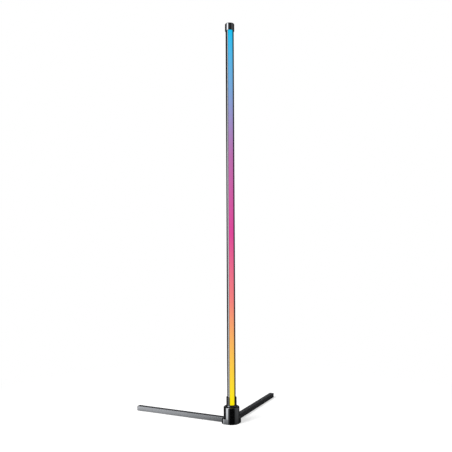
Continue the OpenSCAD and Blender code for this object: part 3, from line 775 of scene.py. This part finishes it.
# heights between which some of them begin or end
outer_rise, outer_fade = (-0.2, 0.4), (1.2, 2.2)
back_rise = (0.3, 0.9)
tail_fade = (-1.0, -0.7)
ceiling_rise = (2.8, 3.6)
# strengths, and what each metre up adds to the two main ones
inner_glow, inner_gain = 6.2, 0.4
outer_share = 0.62                  # of the inner panel's glow
skirt_glow = 0.4
dim_glow, dim_gain = 0.47, -0.03
back_glow = 0.2
tail_glow = 0.08
wall_glow = 0.01
ceiling_glow = 0.12


def round_the_lamp(side, rise, distance):
    """A point at that angle from the camera's direction and above the horizon, seen from the lamp."""
    angle = camera_angle + side
    return Vector((math.cos(angle) * math.cos(rise), math.sin(angle) * math.cos(rise),
                   math.sin(rise))) * distance


def make_soft_box(name, side, rise, power):
    """A square soft box that faces the foot of the pole and isn't itself mirrored in the lamp."""
    data = bpy.data.lights.new(name, "AREA")
    data.shape = "SQUARE"
    data.size = box_size
    data.energy = power
    box = bpy.data.objects.new(name, data)
    box.location = round_the_lamp(side, rise, box_distance) + box_aim
    box.rotation_mode = "QUATERNION"
    box.rotation_quaternion = (box_aim - box.location).to_track_quat("-Z", "Y")
    box.visible_glossy = False
    bpy.context.collection.objects.link(box)


def make_room():
    """World: white where the camera, glass or gloss looks past the set, grey as a light."""
    world = bpy.data.worlds.new("room")
    world.use_nodes = True
    bpy.context.scene.world = world
    room = Finish("room", world.node_tree)
    path = room.add("ShaderNodeLightPath").socket.node.outputs
    seen = sum(Value(room, path[ray]) for ray in
               ("Is Camera Ray", "Is Glossy Ray", "Is Transmission Ray")).clamped()
    light = room.add("ShaderNodeBackground",
                     sockets={"Color": room.tint(seen, (room_level,) * 3, (1, 1, 1))})
    room.add("ShaderNodeOutputWorld", sockets={"Surface": light})


def stage_piece(name, points, faces, material):
    """A piece of the studio, which is no part of the lamp."""
    mesh = bpy.data.meshes.new(name)
    mesh.from_pydata(points, [], faces)
    mesh.materials.append(material)
    piece = bpy.data.objects.new(name, mesh)
    bpy.context.collection.objects.link(piece)
    return piece


def floor_sheet(name, material):
    """A square stage piece that lies at floor level round the axis."""
    half = floor_size / 2
    corners = [(-half, -half, 0), (half, -half, 0), (half, half, 0), (-half, half, 0)]
    return stage_piece(name, corners, [(0, 1, 2, 3)], material)


def seen_by_gloss_alone(piece):
    """Leaves a stage piece to be seen only in what mirrors it."""
    piece.visible_camera = False
    piece.visible_diffuse = False
    piece.visible_transmission = False
    piece.visible_shadow = False


def make_floor():
    """Pale floor that keeps the lamp's shadow and fades into the white round the set."""
    finish = Finish("floor")
    x, y, _ = finish.parts(finish.place())
    away = (x * x + y * y) ** 0.5
    paper = finish.add("ShaderNodeBsdfDiffuse", sockets={"Color": floor_colour})
    lift = finish.add("ShaderNodeEmission", sockets={"Color": (1, 1, 1, 1), "Strength": floor_lift})
    lifted = finish.add("ShaderNodeAddShader", sockets={0: paper, 1: lift})
    white = finish.add("ShaderNodeEmission", sockets={"Color": (1, 1, 1, 1), "Strength": 1.0})
    mixed = finish.add("ShaderNodeMixShader",
                       sockets={0: away.risen(fade_start, fade_stop), 1: lifted, 2: white})
    finish.add("ShaderNodeOutputMaterial", sockets={"Surface": mixed})
    floor_sheet("floor", finish.material).visible_glossy = False


def make_shade():
    """Shade on the floor close to the hub and the legs, seen only by gloss that mirrors the floor.

    It takes its strength at the wall, and falls off by e over each reach away from it.
    """
    finish = Finish("shade")
    x, y, _ = finish.parts(finish.place())

    def shade(distance, strength, reach):
        """How dark the floor is at a distance from a wall."""
        return (distance.maths("MAXIMUM", distance, 0) / -reach).maths("EXPONENT") * strength

    clear = 1 - shade((x * x + y * y) ** 0.5 - hub_r, hub_shade, hub_shade_reach)
    for angle in leg_angles.values():
        along = x * math.cos(angle) + y * math.sin(angle)
        across = (y * math.cos(angle) - x * math.sin(angle)).maths("ABSOLUTE") - leg_width / 2
        beside = along.risen(-hub_r, hub_r) * (1 - along.risen(leg_reach, leg_reach + hub_r))
        clear = clear * (1 - shade(across, leg_shade, leg_shade_reach) * beside)
    black = finish.add("ShaderNodeEmission", sockets={"Strength": 0.0})
    mixed = finish.add("ShaderNodeMixShader",
                       sockets={0: clear, 1: black, 2: finish.add("ShaderNodeBsdfTransparent")})
    finish.add("ShaderNodeOutputMaterial", sockets={"Surface": mixed})
    seen_by_gloss_alone(floor_sheet("shade", finish.material))


def make_tent():
    """Dark tent with a bright soft panel on the left and a dim one right, seen by gloss alone.

    The two lean in towards the camera as they rise. A wider panel stands round the foot of the
    bright one, a faint skirt in front of it, and faint light behind the lamp and on the ceiling.
    """
    finish = Finish("tent")
    x, y, z = finish.parts(finish.place())
    turn = y.maths("ARCTAN2", y, x) - camera_angle
    side = turn.maths("WRAP", turn, math.pi, -math.pi)

    def past(edge, soft, lean):
        """1 where the angle from the camera is past the edge, which moves by lean each metre up."""
        upright = side - z * math.radians(lean)
        return upright.risen(math.radians(edge - soft), math.radians(edge + soft))

    def panel(start, stop, soft, start_lean=0, stop_lean=0):
        """1 between start and stop, and 0 on both sides of them."""
        return past(start, soft, start_lean) * (1 - past(stop, soft, stop_lean))

    outer = panel(*outer_panel) * z.risen(*outer_rise) * (1 - z.risen(*outer_fade))
    inner = panel(*inner_panel)
    bright = inner.maths("MAXIMUM", inner, outer * outer_share)
    dim = panel(*dim_panel)
    back = sum(panel(*edges) for edges in back_panels) * z.risen(*back_rise)
    tail = panel(*tail_panel) * (1 - z.risen(*tail_fade))
    walls = (bright * (z * inner_gain + inner_glow) + dim * (z * dim_gain + dim_glow)
             + panel(*skirt_panel) * skirt_glow + back * back_glow + tail * tail_glow + wall_glow)
    ceiling = z.risen(*ceiling_rise)
    strength = walls * (1 - ceiling) + ceiling * ceiling_glow
    glow = finish.add("ShaderNodeEmission", sockets={"Color": tent_tint, "Strength": strength})
    finish.add("ShaderNodeOutputMaterial", sockets={"Surface": glow})
    finish.material.cycles.emission_sampling = "NONE"
    around, rise = np.meshgrid(np.linspace(0, 2 * np.pi, tent_columns + 1)[:-1],
                               np.linspace(-tent_rise, tent_rise, tent_rows))
    points = tent_r * np.stack([np.cos(around) * np.cos(rise), np.sin(around) * np.cos(rise),
                                np.sin(rise)], -1).reshape(-1, 3)
    faces = net(tent_rows, tent_columns, True)
    seen_by_gloss_alone(stage_piece("tent", points.tolist(), faces.tolist(), finish.material))


make_room()
make_floor()
make_shade()
make_tent()
make_soft_box("key", key_side, key_rise, key_power)
make_soft_box("fill", fill_side, fill_rise, fill_power)

view = bpy.context.scene.view_settings
view.view_transform = "Standard"
